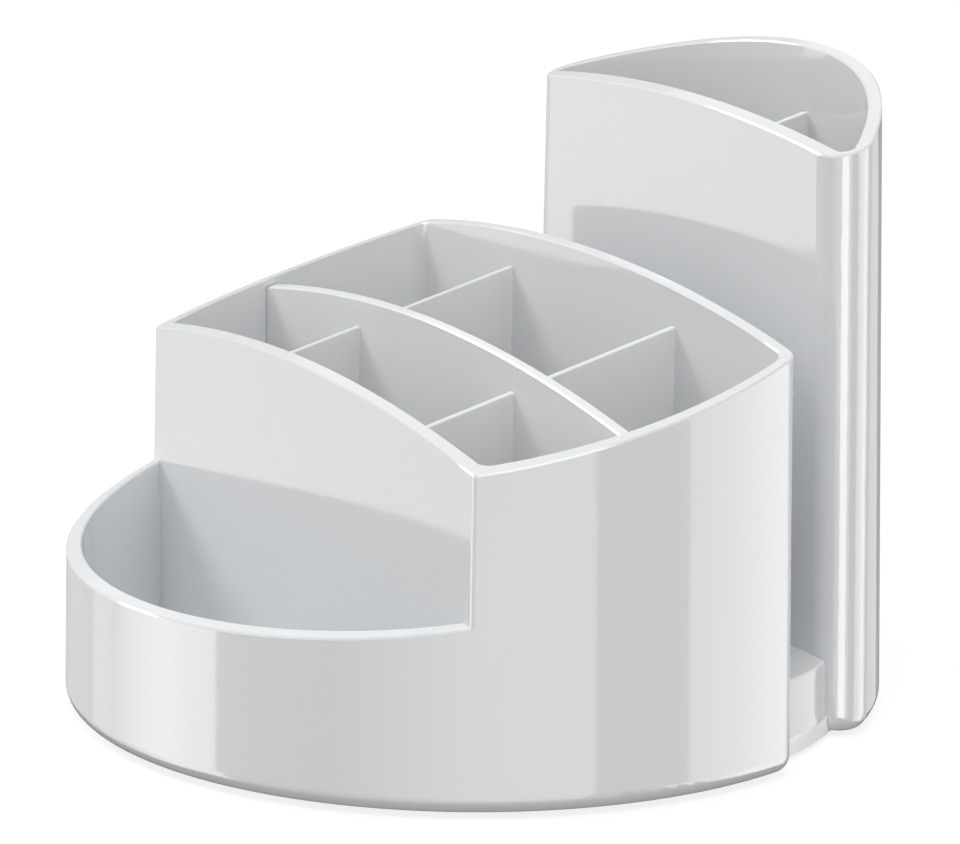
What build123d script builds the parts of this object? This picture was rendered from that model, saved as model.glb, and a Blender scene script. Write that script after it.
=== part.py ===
from build123d import *
import os
from math import cos, radians, sin, tan

os.makedirs("parts", exist_ok=True)

# A round desk caddy: a low tray in front, a block of six compartments behind it and a tall pen
# tower at the back, with an open slot for notes between block and tower.
# Sizes are in millimetres, angles in degrees. The origin is on the desk, on the axis of the round
# base, the tray faces -Y and heights are above the desk. Walls and plan sizes are given at their
# foot, on the base plate, because the mould draft thins the walls towards the rim.

# Whole caddy
base_diameter = 140.0
tower_height = 108.5
block_height = 75.55
tray_height = 36.2
top_slope = 14.7
arch_radius = 385.0
draft = 1.25
base_rounding = 3.0
rim_chamfer = 0.25
fit_gap = 0.1
overrun = 4.0

# Block and tray
block_front = 33.3
block_back = 24.3
front_wall = 4.8
back_wall = 3.3
block_wall = 5.0
tray_wall = 3.65
front_corner = 1.0
corner_margin = 0.4
block_pocket_corner = 1.5

# Pen tower, and the slot in front of it
slot_width = 14.8
tower_wall = 5.6
tower_front_wall = 3.8
tower_pocket_draft = 0.6
tower_corner = 5.0
tower_pocket_corner = 0.6

# Inner walls, which stand in shallow grooves
partition_setback = 7.0
partition_thickness = 4.3
partition_drop = 1.45
divider_spacing = 56.6
divider_thickness = 1.2
divider_drop = 6.1
tower_divider_drop = 11.3
groove_depth = 0.5
divider_rounding = 0.3
divider_flare = 0.5
flare_gap = 0.02

# Base plate, bridge across the slot and feet
plate_diameter = 129.2
plate_thickness = 3.0
bridge_height = 10.0
bridge_wall = 2.2
foot_diameter = 12.0
foot_thickness = 1.6
foot_seat_depth = 0.8
foot_ring_diameter = 100.0
foot_chamfer = 0.3
foot_start_angle = 45.0

# Worked out from the sizes above
base_radius = base_diameter / 2
plate_radius = plate_diameter / 2
underside = foot_thickness - foot_seat_depth
floor = underside + plate_thickness
back_corner = base_rounding + corner_margin
tower_front = block_back + slot_width
flare = tan(radians(draft))
floor_radius = base_radius - plate_thickness * flare
tower_back = base_radius - (tower_height - underside) * flare
reach = base_radius + overrun
bottom = Plane.XY.offset(underside)
inside_floor = Plane.XY.offset(floor)
front_face = Plane((0, -block_front, floor), (1, 0, 0), (0, -cos(radians(draft)), sin(radians(draft))))
back_face = Plane.XZ.offset(-block_back)
tower_face = Plane.XZ.offset(-tower_front)


def above_top(crown_y, crown_z):
    """Everything above an arched top that slopes up to the back through one crown point."""
    downhill = (0, -cos(radians(top_slope)), -sin(radians(top_slope)))
    with BuildPart() as relief:
        with BuildSketch(Plane((0, crown_y, crown_z), (1, 0, 0), downhill)):
            Rectangle(2 * reach, 2 * tower_height)
            with Locations((0, -arch_radius)):
                Circle(arch_radius, mode=Mode.SUBTRACT)
        extrude(amount=2 * base_diameter, both=True)
    return relief.part


def pocket(radius, front, back, lean, corner=0):
    """The space between two straight walls and the round wall, wider at the top than at the floor."""
    with BuildPart() as space:
        with BuildSketch(inside_floor):
            Circle(radius)
            with Locations((0, (front + back) / 2)):
                Rectangle(base_diameter, back - front, mode=Mode.INTERSECT)
            if corner:
                fillet(vertices(), corner)
        extrude(amount=tower_height, taper=-lean)
    return space.part


def arched_top(builder):
    """The highest arched face of a part."""
    return builder.faces().filter_by(GeomType.CYLINDER).sort_by(Axis.Z)[-1]


def upright_sides(face):
    """The left and right edges of a straight face."""
    sides = face.edges().sort_by(Axis.X)
    return [sides[0], sides[-1]]


# Plan of the compartments, at the floor
block_pocket_radius = floor_radius - block_wall
block_pocket_front = -block_front + front_wall
block_pocket_back = block_back - back_wall
partition_front = -partition_setback - partition_thickness / 2
partition_back = -partition_setback + partition_thickness / 2
tower_pocket_radius = floor_radius - tower_wall
tower_pocket_front = tower_front + tower_front_wall


def partition_shape(gap):
    """The long wall across the block, thinner at the top, with ends that follow the round wall."""
    relief = above_top(block_back, block_height - partition_drop + gap)
    with BuildPart() as wall:
        with BuildSketch(inside_floor):
            Circle(block_pocket_radius + groove_depth + gap)
        extrude(amount=block_height, taper=-draft)
        with BuildSketch(Plane.YZ):
            with Locations((-partition_setback, floor)):
                Trapezoid(
                    partition_thickness + 2 * gap, block_height, 90 - draft, align=(Align.CENTER, Align.MIN)
                )
        extrude(amount=reach, both=True, mode=Mode.INTERSECT)
        add(relief, mode=Mode.SUBTRACT)
    return wall.part


def divider_shape(x, front, back, lean, crown_y, crown_z, gap=0):
    """A thin wall between two faces that lean apart, let into a groove in each."""
    relief = above_top(crown_y, crown_z + gap)
    spread = tower_height * tan(radians(lean))
    low_front = front - groove_depth - gap
    low_back = back + groove_depth + gap
    with BuildPart() as wall:
        with BuildSketch(Plane.YZ.offset(x)):
            with BuildLine():
                Polyline(
                    (low_front, floor),
                    (low_back, floor),
                    (low_back + spread, floor + tower_height),
                    (low_front - spread, floor + tower_height),
                    close=True,
                )
            make_face()
        extrude(amount=divider_thickness / 2 + gap, both=True)
        add(relief, mode=Mode.SUBTRACT)
    return wall.part


def divider_flares(x, front, back, lean, crown_y, crown_z):
    """The concave roundings where a divider meets the two faces, up to its rounded top edges."""
    relief = above_top(crown_y, crown_z - divider_rounding)
    spread_width = divider_thickness + 2 * divider_flare
    with BuildPart() as flares:
        for end, outward in ((front + flare_gap, -1), (back - flare_gap, 1)):
            along_wall = (0, outward * sin(radians(lean)), cos(radians(lean)))
            with BuildSketch(Plane((x, end, floor), (1, 0, 0), along_wall)):
                with Locations((0, -outward * divider_flare / 2)):
                    Rectangle(spread_width, divider_flare)
                with Locations((0, -outward * divider_flare)):
                    with GridLocations(spread_width, 0, 2, 1):
                        Circle(divider_flare, mode=Mode.SUBTRACT)
            extrude(amount=tower_height)
        add(relief, mode=Mode.SUBTRACT)
    return flares.part


# Where each divider stands: its place across the caddy, the two faces it joins and its top
front_row = (block_pocket_front, partition_front, draft, block_back, block_height - divider_drop)
rear_row = (partition_back, block_pocket_back, draft, block_back, block_height - divider_drop)
tower_row = (
    tower_pocket_front,
    tower_pocket_radius,
    tower_pocket_draft,
    tower_back,
    tower_height - tower_divider_drop,
)
block_dividers = {
    "front_left_divider": (-divider_spacing / 2, *front_row),
    "front_right_divider": (divider_spacing / 2, *front_row),
    "rear_left_divider": (-divider_spacing / 2, *rear_row),
    "rear_right_divider": (divider_spacing / 2, *rear_row),
}
tower_divider_place = (0, *tower_row)

partition_groove = partition_shape(fit_gap)
divider_grooves = [divider_shape(*place, gap=fit_gap) for place in block_dividers.values()]
tower_groove = divider_shape(*tower_divider_place, gap=fit_gap)

# Block: the part of the main body above and behind the tray
block_top = above_top(block_back, block_height)
with BuildPart() as block:
    with BuildSketch(bottom):
        Circle(base_radius)
    extrude(amount=tower_height, taper=draft)
    split(bisect_by=front_face, keep=Keep.BOTTOM)
    split(bisect_by=back_face, keep=Keep.TOP)
    add(block_top, mode=Mode.SUBTRACT)
    flats = block.faces().filter_by(GeomType.PLANE).sort_by(Axis.Y)
    front_sides = upright_sides(flats[0])
    back_sides = upright_sides(flats[-1])
    fillet(front_sides, front_corner)
    fillet(back_sides, back_corner)

# Main body: a ring with the tray's rim, of which the front is kept and joined to the block
tray_top = above_top(-block_front, tray_height)
tray_space = pocket(floor_radius - tray_wall, -reach, reach, draft)
block_space = pocket(block_pocket_radius, block_pocket_front, block_pocket_back, draft, block_pocket_corner)
with BuildPart() as main_body:
    with BuildSketch(bottom):
        Circle(base_radius)
    extrude(amount=tower_height, taper=draft)
    add(tray_top, mode=Mode.SUBTRACT)
    add(tray_space, mode=Mode.SUBTRACT)
    split(bisect_by=front_face.offset(-front_wall / 2), keep=Keep.TOP)
    chamfer(arched_top(main_body).edges().filter_by(GeomType.ELLIPSE, reverse=True), rim_chamfer)
    add(block.part)
    fillet(main_body.faces().sort_by(Axis.Z)[0].edges(), base_rounding)
    add(block_space, mode=Mode.SUBTRACT)
    chamfer(arched_top(main_body).edges(), rim_chamfer)
    with BuildSketch(inside_floor):
        Circle(plate_radius + fit_gap)
    extrude(amount=-plate_thickness - overrun, mode=Mode.SUBTRACT)
    add(partition_groove, mode=Mode.SUBTRACT)
    add(divider_grooves, mode=Mode.SUBTRACT)
main_body.part.label = "main_body"
export_step(main_body.part, "parts/main_body.step")

# Long partition across the block
partition_form = partition_shape(0)
with BuildPart() as long_partition:
    add(partition_form)
    chamfer(arched_top(long_partition).edges(), rim_chamfer)
    add(divider_grooves, mode=Mode.SUBTRACT)
long_partition.part.label = "long_partition"
export_step(long_partition.part, "parts/long_partition.step")

# Dividers of the block
divider_forms = {name: divider_shape(*place) for name, place in block_dividers.items()}
divider_ends = {name: divider_flares(*place) for name, place in block_dividers.items()}
for name, form in divider_forms.items():
    with BuildPart() as divider:
        add(form)
        fillet(arched_top(divider).edges().filter_by(GeomType.LINE), divider_rounding)
        add(divider_ends[name])
    divider.part.label = name
    export_step(divider.part, f"parts/{name}.step")

# Pen tower
tower_top = above_top(tower_back, tower_height)
tower_space = pocket(tower_pocket_radius, tower_pocket_front, reach, tower_pocket_draft, tower_pocket_corner)
with BuildPart() as pen_tower:
    with BuildSketch(bottom):
        Circle(base_radius)
    extrude(amount=tower_height, taper=draft)
    split(bisect_by=tower_face, keep=Keep.BOTTOM)
    add(tower_top, mode=Mode.SUBTRACT)
    fillet(upright_sides(pen_tower.faces().filter_by(GeomType.PLANE).sort_by(Axis.Y)[0]), tower_corner)
    fillet(pen_tower.faces().sort_by(Axis.Z)[0].edges(), base_rounding)
    add(tower_space, mode=Mode.SUBTRACT)
    chamfer(arched_top(pen_tower).edges(), rim_chamfer)
    with BuildSketch(inside_floor):
        Circle(plate_radius + fit_gap)
    extrude(amount=-plate_thickness - overrun, mode=Mode.SUBTRACT)
    add(tower_groove, mode=Mode.SUBTRACT)
pen_tower.part.label = "pen_tower"
export_step(pen_tower.part, "parts/pen_tower.step")

# Divider of the tower
tower_divider_form = divider_shape(*tower_divider_place)
tower_divider_ends = divider_flares(*tower_divider_place)
with BuildPart() as tower_divider:
    add(tower_divider_form)
    fillet(arched_top(tower_divider).edges().filter_by(GeomType.LINE), divider_rounding)
    add(tower_divider_ends)
tower_divider.part.label = "tower_divider"
export_step(tower_divider.part, "parts/tower_divider.step")

# Bridge: the raised floor of the slot, hollow below
with BuildPart() as slot_bridge:
    with BuildSketch(inside_floor):
        Circle(plate_radius)
    extrude(amount=bridge_height, taper=draft)
    split(bisect_by=back_face, keep=Keep.BOTTOM)
    split(bisect_by=tower_face, keep=Keep.TOP)
    chamfer(slot_bridge.faces().sort_by(Axis.Z)[-1].edges().filter_by(GeomType.CIRCLE), rim_chamfer)
    with BuildSketch(inside_floor):
        Circle(plate_radius - bridge_wall)
    extrude(amount=bridge_height - bridge_wall, mode=Mode.SUBTRACT)
slot_bridge.part.label = "slot_bridge"
export_step(slot_bridge.part, "parts/slot_bridge.step")

# Base plate, with a seat below for each foot
foot_names = ("rear_right_foot", "rear_left_foot", "front_left_foot", "front_right_foot")
foot_places = PolarLocations(foot_ring_diameter / 2, len(foot_names), start_angle=foot_start_angle)
with BuildPart() as base_plate:
    with BuildSketch(bottom):
        Circle(plate_radius)
    extrude(amount=plate_thickness)
    with BuildSketch(bottom):
        with foot_places:
            Circle(foot_diameter / 2 + fit_gap)
    extrude(amount=foot_seat_depth, mode=Mode.SUBTRACT)
base_plate.part.label = "base_plate"
export_step(base_plate.part, "parts/base_plate.step")

# Feet: anti-slip pads that stand proud of the base plate
for name, place in zip(foot_names, foot_places.locations):
    with BuildPart() as foot:
        with BuildSketch():
            with Locations(place):
                Circle(foot_diameter / 2)
        extrude(amount=foot_thickness)
        chamfer(foot.edges().group_by(Axis.Z)[0], foot_chamfer)
    foot.part.label = name
    export_step(foot.part, f"parts/{name}.step")
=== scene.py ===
"""Looks of a round desk caddy in glossy light grey plastic, in a plain white studio."""
import math

import bpy
from mathutils import Matrix

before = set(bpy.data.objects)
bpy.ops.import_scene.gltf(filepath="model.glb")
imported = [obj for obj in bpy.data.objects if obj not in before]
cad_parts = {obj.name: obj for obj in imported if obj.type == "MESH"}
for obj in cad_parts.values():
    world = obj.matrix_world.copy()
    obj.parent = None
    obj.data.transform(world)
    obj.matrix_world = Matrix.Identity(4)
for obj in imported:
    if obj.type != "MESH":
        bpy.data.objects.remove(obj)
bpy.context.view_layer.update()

# Lengths are in metres and angles in degrees. Azimuth 0 is in front of the tray, and 90 on its right.

# Camera, at the photograph's viewing angle
view_azimuth = 62.05
view_reach = 0.7184
view_height = 0.2206
view_pitch = 13.52
view_trim = 0.085
view_roll = 0.3175
view_lens_mm = 162.8
sensor_width_mm = 36.0

# Plastics: colour, and roughness where the polish is best and where it is worst
plastics = {
    "shell": ((0.77, 0.784, 0.795), 0.06, 0.1),
    # The inner walls are a lighter copy of the shell's plastic: painted light, which makes up for the light
    # that the partition and dividers lack
    "inner_wall": ((0.8, 0.812, 0.82), 0.09, 0.14),
    "base": ((0.8, 0.812, 0.82), 0.12, 0.2),
}
plastic_ior = 1.5
cloud_size = 0.045
cloud_contrast = 0.008
cloud_detail = 3
polish_size = 0.018
polish_detail = 4
peel_size = 0.0022
peel_height = 0.000006
peel_detail = 1

# Rubber of the feet
rubber_colour = (0.34, 0.34, 0.35)
rubber_contrast = 0.08
rubber_shine = 0.3
rubber_smooth = 0.6
rubber_dull = 0.85
rubber_grain_size = 0.0006
rubber_grain_height = 0.00008
rubber_grain_detail = 2

# The part of a noise texture's values that gets spread over a range
noise_low = 0.3
noise_high = 0.7

# Floor and world
white = (1, 1, 1, 1)
floor_half_width = 4.0
floor_glow = 0.74
floor_white = 0.32
sky_level = 0.65
ground_level = 0.45
horizon_blur = 0.2

# Lamps: azimuth, elevation and watts, and the nodes that the lamp lights, where it isn't all of them
lamp_reach = 1.6
lamp_width = 0.6
lamps = {
    "key_lamp": (-58.0, 34.0, 8.6, ()),
    "side_lamp": (68.0, 57.0, 6.8, ()),
    "base_lamp": (105.0, 30.0, 9.0, ("base_plate",)),
}

# Cards that the plastic reflects: azimuth from and to, brightness from and to over the white
# background, and the nodes that reflect the card, where it isn't all of them
card_radius = 3.0
card_gap = 0.02
card_low = -2.2
card_high = 0.6
card_steps = 12
cards = {
    "front_fill": (-69.0, -56.0, 0.6, 0.9, ()),
    "left_ramp": (-56.0, -32.0, 0.7, 4.7, ("main_body",)),
    "left_softbox": (-32.0, -12.0, 4.7, 4.9, ("main_body",)),
    "middle_fill": (-12.0, 24.0, 1.2, 0.5, ("main_body",)),
    "camera_ramp": (24.0, 64.0, 0.5, 2.5, ()),
    "camera_softbox": (64.0, 95.6, 2.5, 2.8, ()),
    "gap_fill": (95.6, 123.0, 0.4, 0.8, ("main_body",)),
    "back_softbox": (123.0, 160.0, 3.2, 5.6, ()),
    "back_ramp": (160.0, 180.0, 5.6, 0.5, ("main_body", "pen_tower")),
    "bridge_fill": (160.0, 215.0, 1.6, 1.6, ("slot_bridge", "base_plate")),
    "tower_fill": (-69.0, -56.0, 0.5, 0.5, ("pen_tower",)),
    "tower_strip": (59.0, 85.0, 6.0, 6.0, ("pen_tower",)),
}

# A grey flag that hides the white background on the left: azimuth from and to, brightness from and to
flag = (-140.0, -69.0, 0.3, 1.0)
flag_high = 1.3

# A dark plate below the floor, seen only in reflections, which paints shade on the caddy's rounded lower
# edge, and the nodes that reflect it
plate_radius = 0.072
plate_height = -0.0005
painted_shade_grey = 0.15
plate_steps = 48
plate_nodes = ("main_body", "pen_tower")


def add_node(tree, kind, sockets=None, **settings):
    """A new node with some of its settings and sockets filled in."""
    node = tree.nodes.new(kind)
    for name, value in settings.items():
        setattr(node, name, value)
    for name, value in (sockets or {}).items():
        node.inputs[name].default_value = value
    return node


def noise(tree, feature_size, detail):
    """Noise over the object, with features of one size."""
    place = add_node(tree, "ShaderNodeTexCoord")
    texture = add_node(tree, "ShaderNodeTexNoise", {"Scale": 1 / feature_size, "Detail": detail})
    tree.links.new(place.outputs["Object"], texture.inputs["Vector"])
    return texture.outputs["Fac"]


def ranged(tree, value, low, high):
    """A noise value spread over a range."""
    spread = add_node(
        tree,
        "ShaderNodeMapRange",
        {"From Min": noise_low, "From Max": noise_high, "To Min": low, "To Max": high},
    )
    tree.links.new(value, spread.inputs["Value"])
    return spread.outputs["Result"]


def new_material(name):
    """A new material, its node tree and its shader."""
    material = bpy.data.materials.new(name)
    material.use_nodes = True
    return material, material.node_tree, material.node_tree.nodes["Principled BSDF"]


def mottled(tree, shader, colour, contrast, feature_size):
    """Gives the shader a base colour with faint clouds."""
    clouds = add_node(tree, "ShaderNodeMix", data_type="RGBA")
    clouds.inputs["A"].default_value = (*(channel * (1 - contrast) for channel in colour), 1)
    clouds.inputs["B"].default_value = (*(channel * (1 + contrast) for channel in colour), 1)
    tree.links.new(ranged(tree, noise(tree, feature_size, cloud_detail), 0, 1), clouds.inputs["Factor"])
    tree.links.new(clouds.outputs["Result"], shader.inputs["Base Color"])


def uneven(tree, shader, smooth, dull, feature_size, detail):
    """Gives the shader a roughness that varies."""
    tree.links.new(ranged(tree, noise(tree, feature_size, detail), smooth, dull), shader.inputs["Roughness"])


def bumpy(tree, shader, feature_size, height, detail):
    """Gives the shader a fine relief."""
    bump = add_node(tree, "ShaderNodeBump", {"Strength": 1.0, "Distance": height})
    tree.links.new(noise(tree, feature_size, detail), bump.inputs["Height"])
    tree.links.new(bump.outputs["Normal"], shader.inputs["Normal"])


def plastic(name, colour, smooth, dull):
    """Moulded plastic: faint clouds of colour, uneven polish and the slight waves of a moulding."""
    material, tree, shader = new_material(name)
    shader.inputs["IOR"].default_value = plastic_ior
    mottled(tree, shader, colour, cloud_contrast, cloud_size)
    uneven(tree, shader, smooth, dull, polish_size, polish_detail)
    bumpy(tree, shader, peel_size, peel_height, peel_detail)
    return material


def rubber(name):
    """Matt rubber with a fine grain."""
    material, tree, shader = new_material(name)
    shader.inputs["Specular IOR Level"].default_value = rubber_shine
    mottled(tree, shader, rubber_colour, rubber_contrast, polish_size)
    uneven(tree, shader, rubber_smooth, rubber_dull, rubber_grain_size, rubber_grain_detail)
    bumpy(tree, shader, rubber_grain_size, rubber_grain_height, rubber_grain_detail)
    return material


def dress_nodes():
    """Each CAD node gets the material of its slot."""
    materials = {slot: plastic(slot, *finish) for slot, finish in plastics.items()}
    materials["foot"] = rubber("foot")
    for name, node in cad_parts.items():
        slot = "shell"
        if name.endswith(("partition", "divider")):
            slot = "inner_wall"
        elif name == "base_plate":
            slot = "base"
        elif name.endswith("foot"):
            slot = "foot"
        node.data.materials.clear()
        node.data.materials.append(materials[slot])


def new_object(name, data):
    """A new object in the scene."""
    made = bpy.data.objects.new(name, data)
    bpy.context.scene.collection.objects.link(made)
    return made


def around(azimuth, radius):
    """The place at one azimuth and distance from the caddy's axis."""
    angle = math.radians(azimuth)
    return radius * math.sin(angle), -radius * math.cos(angle)


def keep_to(thing, nodes):
    """Lets a card, plate or lamp act on some nodes alone."""
    linked = bpy.data.collections.new(thing.name + "_nodes")
    for node in nodes:
        linked.objects.link(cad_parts[node])
    thing.light_linking.receiver_collection = linked


def make_floor():
    """A white floor for the camera alone, which glows a little and keeps the caddy's shadow."""
    side = floor_half_width
    corners = [(-side, -side, 0), (side, -side, 0), (side, side, 0), (-side, side, 0)]
    mesh = bpy.data.meshes.new("floor")
    mesh.from_pydata(corners, [], [tuple(range(len(corners)))])
    material, _, shader = new_material("floor")
    shader.inputs["Base Color"].default_value = (floor_white, floor_white, floor_white, 1)
    shader.inputs["Specular IOR Level"].default_value = 0
    shader.inputs["Roughness"].default_value = 1
    shader.inputs["Emission Color"].default_value = white
    shader.inputs["Emission Strength"].default_value = floor_glow
    mesh.materials.append(material)
    floor = new_object("floor", mesh)
    floor.visible_diffuse = False
    floor.visible_glossy = False
    floor.visible_transmission = False
    floor.visible_shadow = False


def card_mesh(name, radius, start, end, top):
    """An upright curved strip, whose UV map runs from 0 at its start to 1 at its end."""
    points, faces, across = [], [], []
    for step in range(card_steps + 1):
        x, y = around(start + (end - start) * step / card_steps, radius)
        points += [(x, y, card_low), (x, y, top)]
    for step in range(card_steps):
        first = 2 * step
        faces.append((first, first + 2, first + 3, first + 1))
        across += [step, step + 1, step + 1, step]
    mesh = bpy.data.meshes.new(name)
    mesh.from_pydata(points, [], faces)
    layer = mesh.uv_layers.new(name="across")
    for loop, step in zip(layer.data, across):
        loop.uv = (step / card_steps, 0)
    return mesh


def card_glow(name, start_level, end_level, background):
    """A glow that changes across a card, added to a share of the background."""
    material = bpy.data.materials.new(name)
    material.use_nodes = True
    tree = material.node_tree
    tree.nodes.clear()
    output = add_node(tree, "ShaderNodeOutputMaterial")
    glow = add_node(tree, "ShaderNodeEmission")
    behind = add_node(tree, "ShaderNodeBsdfTransparent", {"Color": (background, background, background, 1)})
    both = add_node(tree, "ShaderNodeAddShader")
    place = add_node(tree, "ShaderNodeUVMap", uv_map="across")
    split = add_node(tree, "ShaderNodeSeparateXYZ")
    level = add_node(tree, "ShaderNodeMapRange", {"To Min": start_level, "To Max": end_level})
    tree.links.new(place.outputs["UV"], split.inputs["Vector"])
    tree.links.new(split.outputs["X"], level.inputs["Value"])
    tree.links.new(level.outputs["Result"], glow.inputs["Strength"])
    tree.links.new(glow.outputs["Emission"], both.inputs[0])
    tree.links.new(behind.outputs["BSDF"], both.inputs[1])
    tree.links.new(both.outputs["Shader"], output.inputs["Surface"])
    return material


def make_card(name, radius, start, end, start_level, end_level, top, background):
    """An upright curved card round the stage that shows only in reflections."""
    mesh = card_mesh(name, radius, start, end, top)
    mesh.materials.append(card_glow(name, start_level, end_level, background))
    card = new_object(name, mesh)
    card.visible_camera = False
    card.visible_diffuse = False
    card.visible_shadow = False
    return card


def make_cards():
    """Bright see-through cards, each at its own distance, and the flag, which nothing shines through."""
    for place, (name, (*span, nodes)) in enumerate(cards.items()):
        card = make_card(name, card_radius - place * card_gap, *span, card_high, 1)
        if nodes:
            keep_to(card, nodes)
    make_card("left_flag", card_radius, *flag, flag_high, 0)


def make_painted_shade_plate():
    """A dark plate below the floor, which shows only in reflections, as painted shade on the caddy's rounded
    lower edge.
    """
    mesh = bpy.data.meshes.new("painted_shade_plate")
    corners = [around(360 * step / plate_steps, plate_radius) for step in range(plate_steps)]
    mesh.from_pydata([(x, y, plate_height) for x, y in corners], [], [tuple(range(plate_steps))])
    material, _, shader = new_material("painted_shade_plate")
    shader.inputs["Base Color"].default_value = (painted_shade_grey, painted_shade_grey, painted_shade_grey, 1)
    shader.inputs["Specular IOR Level"].default_value = 0
    mesh.materials.append(material)
    plate = new_object("painted_shade_plate", mesh)
    plate.visible_camera = False
    plate.visible_diffuse = False
    plate.visible_shadow = False
    keep_to(plate, plate_nodes)


def make_lamps():
    """Large soft lamps that face the caddy."""
    for name, (azimuth, elevation, watts, nodes) in lamps.items():
        data = bpy.data.lights.new(name, "AREA")
        data.size = lamp_width
        data.energy = watts
        lamp = new_object(name, data)
        rise = math.radians(elevation)
        place = (*around(azimuth, lamp_reach * math.cos(rise)), lamp_reach * math.sin(rise))
        turn = Matrix.Rotation(math.radians(azimuth), 4, "Z")
        tilt = Matrix.Rotation(math.pi / 2 - rise, 4, "X")
        lamp.matrix_world = Matrix.Translation(place) @ turn @ tilt
        lamp.visible_camera = False
        if nodes:
            keep_to(lamp, nodes)


def make_world():
    """White for the camera and in reflections, and an even soft light on everything else."""
    world = bpy.data.worlds.new("studio")
    bpy.context.scene.world = world
    world.use_nodes = True
    tree = world.node_tree
    bright = tree.nodes["Background"]
    bright.inputs["Color"].default_value = white
    bright.inputs["Strength"].default_value = 1
    soft = add_node(tree, "ShaderNodeBackground", {"Color": white})
    place = add_node(tree, "ShaderNodeTexCoord")
    split = add_node(tree, "ShaderNodeSeparateXYZ")
    level = add_node(
        tree,
        "ShaderNodeMapRange",
        {"From Min": -horizon_blur, "From Max": horizon_blur, "To Min": ground_level, "To Max": sky_level},
    )
    tree.links.new(place.outputs["Generated"], split.inputs["Vector"])
    tree.links.new(split.outputs["Z"], level.inputs["Value"])
    tree.links.new(level.outputs["Result"], soft.inputs["Strength"])
    path = add_node(tree, "ShaderNodeLightPath")
    seen = path.outputs["Is Camera Ray"]
    for ray in ("Is Glossy Ray", "Is Transmission Ray"):
        either = add_node(tree, "ShaderNodeMath", operation="MAXIMUM")
        tree.links.new(seen, either.inputs[0])
        tree.links.new(path.outputs[ray], either.inputs[1])
        seen = either.outputs["Value"]
    mix = add_node(tree, "ShaderNodeMixShader")
    tree.links.new(seen, mix.inputs["Fac"])
    tree.links.new(soft.outputs["Background"], mix.inputs[1])
    tree.links.new(bright.outputs["Background"], mix.inputs[2])
    tree.links.new(mix.outputs["Shader"], tree.nodes["World Output"].inputs["Surface"])


def make_camera():
    """A long lens from the front right, a little above the rims."""
    data = bpy.data.cameras.new("photo_camera")
    data.sensor_width = sensor_width_mm
    data.lens = view_lens_mm
    camera = new_object("photo_camera", data)
    place = (*around(view_azimuth, view_reach), view_height)
    turn = Matrix.Rotation(math.radians(view_azimuth - view_trim), 4, "Z")
    tilt = Matrix.Rotation(math.radians(90 - view_pitch), 4, "X")
    roll = Matrix.Rotation(math.radians(view_roll), 4, "Z")
    camera.matrix_world = Matrix.Translation(place) @ turn @ tilt @ roll
    bpy.context.scene.camera = camera


dress_nodes()
make_floor()
make_cards()
make_painted_shade_plate()
make_lamps()
make_world()
make_camera()
bpy.context.scene.view_settings.view_transform = "Standard"
